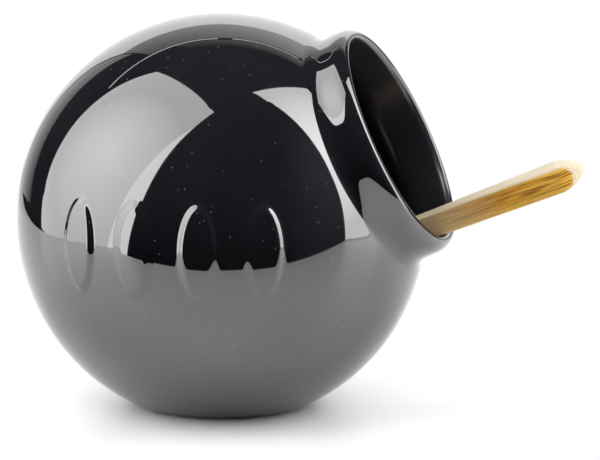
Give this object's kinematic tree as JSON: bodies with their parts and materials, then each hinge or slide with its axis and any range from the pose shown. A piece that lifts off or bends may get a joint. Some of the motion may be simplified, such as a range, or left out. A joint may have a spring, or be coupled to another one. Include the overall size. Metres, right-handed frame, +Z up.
{
  "type": "salt cellar with spoon",
  "caption": "Glossy black ceramic ball salt cellar with a wide tilted open mouth, a flat foot and a loose bamboo spoon that lifts out of the mouth.",
  "frame": {"origin": "middle of the flat foot, on the surface that the pot stands on", "axes": "+Z up, +X towards the side that the mouth opens to, -Y the front with the raised relief"},
  "size_m": [0.1516, 0.1107, 0.1051],
  "materials": {
    "black_glaze": "high-gloss black glaze over a slip-cast ceramic body",
    "bamboo": "bare sanded bamboo, satin"
  },
  "bodies": {
    "pot": {"pot": "black_glaze"},
    "spoon": {"spoon": "bamboo"}
  },
  "joints": [
    {"name": "spoon_lift", "type": "slide", "parent": "pot", "child": "spoon", "axis": [0.8715, 0.1852, 0.454], "range_m": [0, 0.115]}
  ]
}
